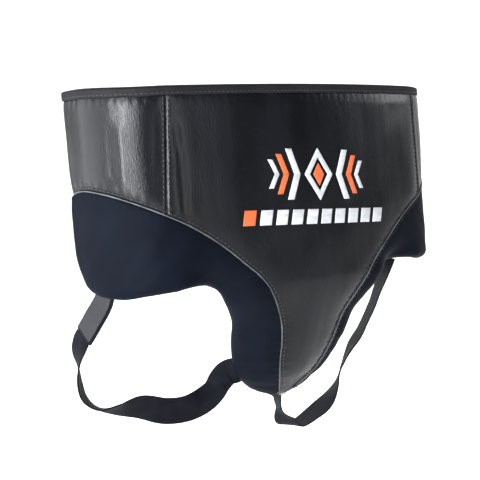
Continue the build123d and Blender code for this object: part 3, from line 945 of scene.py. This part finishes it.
TAB_ROUTES = {
    "right": [((-176.4, -9, -134), (0, -0.98, -0.2)), ((-176.4, -4, -158), (0, -0.97, -0.25)),
              ((-176.6, 2, -180), (0, -0.94, -0.34)), ((-184, 13, -200), (0, -0.9, -0.43)),
              ((-189.5, 23, -215), (0, -0.94, -0.34))],
    "left": [((176.4, -9, -98), (0, -1, -0.08)), ((176.4, -7, -124), (0, -1, -0.08)),
             ((176.4, -5, -150), (0, -1, -0.08)), ((176.3, -2.7, -176.4), (0, -1, -0.08))],
}
STRAP_ROUTES = {
    "right": [((-189.7, 22.8, -214.7), (-0.07, -0.82, -0.52)), ((-191.2, 25.4, -219.2), (-0.05, -0.86, -0.42)),
              ((-193.6, 25.8, -228), (-0.1, -0.95, -0.25)),
              ((-195.5, 25, -241), (-0.45, -0.88, 0)), ((-195.5, 25, -256), (-0.6, -0.8, 0)),
              ((-192, 24, -270), (-0.6, -0.8, 0)), ((-180, 22, -281), (-0.5, -0.85, 0.15)),
              ((-162, 20, -285), (-0.35, -0.8, 0.5)), ((-138, 17, -287), (-0.15, -0.4, 0.9)),
              ((-114, 14, -295), (0, -0.05, 1)), ((-92, 12, -297), (0.05, 0.05, 1)),
              ((-74, 10, -293), (0.15, 0.3, 0.9)), ((-60, 8, -285), (0.3, 0.5, 0.8)),
              ((-52, 7, -276), (0.2, 0.4, 0.9)), ((-45, 4, -269), (0, 0.3, 1)),
              ((-38, -3.5, -266.5), (0, -0.2, 1)), ((-29, -8, -265.5), (0, -0.42, 0.9))],
    "left": [((176.2, -2.4, -176.8), (0, -1, -0.04)), ((176, -2, -181), (0, -1, 0)),
             ((170, -2, -196), (-0.3, -0.95, 0)), ((161, -1, -212), (0.55, 0.8, 0.25)),
             ((150, -1, -229), (0.62, 0.7, 0.35)), ((135, 0, -249), (0.7, 0.5, 0.5)),
             ((118, 1, -268), (0.72, 0.4, 0.55)), ((104, 1, -286), (0.75, 0.45, 0.45)),
             ((94, 2, -304), (0.7, 0.65, 0.3)), ((77, 2, -320), (0.5, 0.8, 0.4)), ((57, 3, -330), (0.3, 0.92, 0.2)),
             ((38, 4, -336), (0, 1, 0)), ((25, 4, -330), (-0.4, 0.9, 0)), ((18.5, 5, -317), (0.4, 0.9, 0)),
             ((18.5, 7, -304), (0.4, 0.9, 0)), ((25, 10, -291), (0.4, 0.6, 0.6)), ((34, 9, -280), (0.2, 0.4, 0.9)),
             ((43, 5, -271), (0, 0.3, 1)), ((38, -3, -266.5), (0, -0.2, 1)), ((29, -8, -265.5), (0, -0.42, 0.9))],
}
STRAP_WIDE, STRAP_THICK = 25.0, 1.8
TAB_WIDE, TAB_THICK = 28.0, 2.2
HOOK_OUT = 1.7  # how far a hook tape's middle is from its tab's
HOOK_TRIM = 0.2  # share of the lowest stretch that a hook tape leaves free
ANCHOR_X, ANCHOR_HALF, ANCHOR_Y, ANCHOR_Z, ANCHOR_THICK = 30, 9, -9.7, -265.5, 1.9
BEND_START, BEND_END = 0.044, 0.100  # span where a strap goes over from the tongue to its own motion; only passed on in the bend tuple, nothing here bends the strap by it


def same_face(route):
    """Turn each width direction so that it agrees with the one before it."""
    out = [route[0]]
    for point, width in route[1:]:
        if Vector(width).dot(Vector(out[-1][1])) < 0:
            width = tuple(-c for c in width)
        out.append((point, width))
    return out


for name, side in SIDES.items():
    tab_body, strap_body = f"strap_tab_{name}", f"leg_strap_{name}"
    flat_band(f"strap_tab_{name}", TAB_ROUTES[name], TAB_WIDE, TAB_THICK, 60, WEBBING, tab_body, None,
              [f"strap_tab_{name}"], end_round=2.0)
    hook_route = [((p[0] + side * HOOK_OUT, p[1], p[2]), w) for p, w in TAB_ROUTES[name]]
    (lower_point, lower_width), (upper_point, _) = hook_route[-1], hook_route[-2]
    hook_route[-1] = (tuple(mix(a, b, HOOK_TRIM) for a, b in zip(lower_point, upper_point)), lower_width)
    flat_band(f"strap_hook_tape_{name}", hook_route, TAB_WIDE - 4, 1.2, 50, HOOK_TAPE, tab_body, None,
              [f"strap_hook_tape_{name}"])
    stitches(f"strap_tab_stitches_{name}", box_rows(TAB_ROUTES[name][2:], TAB_WIDE, 3.0, -side * 1.2),
             body=tab_body)
    strap_bend = ("root", strap_body, (side * BEND_START, 0, 0), (side * BEND_END, 0, 0))
    strap, strap_length = flat_band(f"leg_strap_{name}", same_face(STRAP_ROUTES[name]), STRAP_WIDE, STRAP_THICK, 240,
                                    WEBBING, strap_body, strap_bend, [f"leg_strap_{name}"])
    anchor_route = [((side * x, ANCHOR_Y, ANCHOR_Z), (0, -0.42, 0.9))
                    for x in (ANCHOR_X - ANCHOR_HALF, ANCHOR_X, ANCHOR_X + ANCHOR_HALF)]
    flat_band(f"strap_anchor_{name}", anchor_route, STRAP_WIDE, ANCHOR_THICK, 24, WEBBING, "root", None,
              [f"strap_anchor_{name}"])
    stitches(f"strap_anchor_stitches_{name}", box_rows(anchor_route, STRAP_WIDE, 3.0, side * 1.1))


# Embroidered motif: plain shapes only

MOTIF_MIDDLE, MOTIF_Z = 2.0, -82.0
MOTIF_TILT = -0.05
MOTIF_ROUND = 0.55
MOTIF_STRIP = 4.0  # width of the strips a shape is cut into, so that it follows the cover


def sewn_shape(name, outline, high, material):
    """A raised embroidered shape, drawn flat in the body's map and laid on the belly's cover."""
    bm = bmesh.new()
    face = bm.faces.new([bm.verts.new((s, z, -0.3)) for s, z in outline])
    raised = bmesh.ops.extrude_face_region(bm, geom=[face])
    top = [v for v in raised["geom"] if isinstance(v, bmesh.types.BMVert)]
    bmesh.ops.translate(bm, verts=top, vec=(0, 0, high + 0.3))
    rim = [e for e in bm.edges if all(v.co.z > 0 for v in e.verts)]
    bmesh.ops.bevel(bm, geom=rim, offset=MOTIF_ROUND, offset_type="OFFSET", segments=2, profile=0.5, affect="EDGES",
                    material=-1)
    low, far = min(s for s, z in outline), max(s for s, z in outline)
    cut = low + MOTIF_STRIP
    while cut < far:
        bmesh.ops.bisect_plane(bm, geom=bm.verts[:] + bm.edges[:] + bm.faces[:], plane_co=(cut, 0, 0),
                               plane_no=(1, 0, 0), dist=1e-4)
        cut += MOTIF_STRIP
    bmesh.ops.recalc_face_normals(bm, faces=bm.faces)
    for vert in bm.verts:
        s, z, out = vert.co
        z += MOTIF_TILT * s
        vert.co = front_point(s, z, out)
    return finish_piece(bm, name, material)


def about(points):
    """Points measured from the motif's middle, in the body's map."""
    return [(MOTIF_MIDDLE + s, MOTIF_Z + z) for s, z in points]


DIAMOND = 24.0
for name, way in (("upper", 1), ("lower", -1)):
    half_frame = [(-17, 0), (0, DIAMOND), (17, 0), (11, 0), (0, DIAMOND - 8.5), (-11, 0)]
    sewn_shape(f"motif_diamond_{name}", about([(s, way * z) for s, z in half_frame]), 0.9, SILVER)
    core = [(-6.5, 0), (0, 10.5), (6.5, 0)]
    sewn_shape(f"motif_core_{name}", about([(s, way * z) for s, z in core]), 0.9, ORANGE)
for name, side in SIDES.items():
    for i, (near, wide, tall, lean) in enumerate(((22, 7.0, 23, 9), (35, 6.0, 18, 8), (46, 5.0, 13, 7))):
        for half_name, way in (("upper", 1), ("lower", -1)):
            arm = [(near, 0), (near + lean, tall), (near + lean + wide, tall), (near + wide, 0)]
            arm = [(side * s, way * z) for s, z in arm]
            sewn_shape(f"motif_arm_{name}_{i + 1}_{half_name}", about(arm), 0.8, ORANGE if i == 1 else SILVER)
bar_from, bar_step, bar_wide, bar_high, bar_low = -86.0, 17.4, 12.4, 13.5, -127.5
for i in range(10):
    left = bar_from + i * bar_step
    bar = [(left, bar_low), (left + bar_wide, bar_low), (left + bar_wide + 3.0, bar_low + bar_high),
           (left + 3.0, bar_low + bar_high)]
    sewn_shape(f"motif_bar_{i + 1:02d}", bar, 0.8, ORANGE if i == 0 else SILVER)


# Cup shell: the frame's own piece with a moulded finish
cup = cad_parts["groin_cup"]
cup.data.materials.clear()
cup.data.materials.append(CUP_SHELL)


# Room, light and camera

LIGHT_COLOUR = (0.95, 0.975, 1.0)
FLOOR_HALF_WIDE, FLOOR_LONG, FLOOR_NEAR = 9, 12, 4
floor_bm = bmesh.new()
bmesh.ops.create_grid(floor_bm, x_segments=2, y_segments=40, size=1)
sweep_start, sweep_round, floor_z = 3.0, 1.5, -0.40
view_turn = radians(-37.625)
for vert in floor_bm.verts:
    across, deep = vert.co.x * FLOOR_HALF_WIDE, (vert.co.y + 1) / 2 * FLOOR_LONG - FLOOR_NEAR
    if deep < sweep_start:
        y, z = deep, floor_z
    else:
        bend_angle = min((deep - sweep_start) / sweep_round, pi / 2)
        y = sweep_start + sweep_round * sin(bend_angle)
        z = floor_z + sweep_round * (1 - cos(bend_angle)) + max(0.0, deep - sweep_start - sweep_round * pi / 2)
    vert.co = Vector((across * cos(view_turn) - y * sin(view_turn),
                      across * sin(view_turn) + y * cos(view_turn), z))
floor_mesh = bpy.data.meshes.new("floor")
for face in floor_bm.faces:
    face.smooth = True
floor_bm.to_mesh(floor_mesh)
floor_bm.free()
floor = bpy.data.objects.new("floor", floor_mesh)
bpy.context.collection.objects.link(floor)
floor_material, _, _, floor_shader = node_material("pale_floor")
floor_shader.inputs["Base Color"].default_value = (0.9, 0.9, 0.9, 1)
floor_shader.inputs["Emission Color"].default_value = (1, 1, 1, 1)
floor_shader.inputs["Emission Strength"].default_value = 0.75
floor_shader.inputs["Roughness"].default_value = 0.9
floor_mesh.materials.append(floor_material)

world = bpy.data.worlds.new("studio")
bpy.context.scene.world = world
world.use_nodes = True
world.node_tree.nodes["Background"].inputs["Color"].default_value = (1, 1, 1, 1)
world.node_tree.nodes["Background"].inputs["Strength"].default_value = 0.16


def softbox(name, place, aim, size, power):
    """An oblong lamp at a place, turned towards a point, with its power in watts."""
    light = bpy.data.lights.new(name, "AREA")
    light.shape = "RECTANGLE"
    light.size, light.size_y = size
    light.energy = power
    light.color = LIGHT_COLOUR
    lamp = bpy.data.objects.new(name, light)
    bpy.context.collection.objects.link(lamp)
    lamp.location = place
    lamp.rotation_euler = (Vector(aim) - Vector(place)).to_track_quat("-Z", "Y").to_euler()


softbox("key", (-0.12, -2.0, 0.12), (-0.12, 0, -0.06), (0.70, 1.3), 15)
softbox("side", (-1.6, -0.75, 0.10), (-0.15, 0, -0.08), (1.0, 1.2), 64)
softbox("streak", (-1.30, -0.50, 0.05), (-0.15, 0, -0.08), (0.12, 0.6), 20)
softbox("hip", (-1.6, 0.75, 0.10), (-0.19, 0, -0.08), (1.7, 1.1), 50)
softbox("far_side", (1.9, -0.75, 0.45), (0.1, 0, -0.05), (0.40, 0.6), 9)
softbox("top", (0.1, 0.3, 1.7), (0, 0, -0.1), (1.4, 1.4), 8)
softbox("behind", (0.6, 1.9, 0.9), (0, 0, -0.1), (1.2, 0.9), 30)

EYE, LOOK = Vector((-0.65554, -0.82310, -0.08604)), Vector((-0.01323, 0.01020, -0.14162))
ROLL_TURN = radians(-3.902)
backwards = (EYE - LOOK).normalized()
level_right = Vector((0, 0, 1)).cross(backwards).normalized()
level_up = backwards.cross(level_right)
cam_right = level_right * cos(ROLL_TURN) + level_up * sin(ROLL_TURN)
cam_up = -level_right * sin(ROLL_TURN) + level_up * cos(ROLL_TURN)
camera_data = bpy.data.cameras.new("camera")
camera_data.lens = 79.65
camera_data.sensor_width = 36
camera = bpy.data.objects.new("camera", camera_data)
bpy.context.collection.objects.link(camera)
camera.matrix_world = Matrix((cam_right, cam_up, backwards)).transposed().to_4x4()
camera.location = EYE
bpy.context.scene.camera = camera
bpy.context.scene.view_settings.view_transform = "Standard"
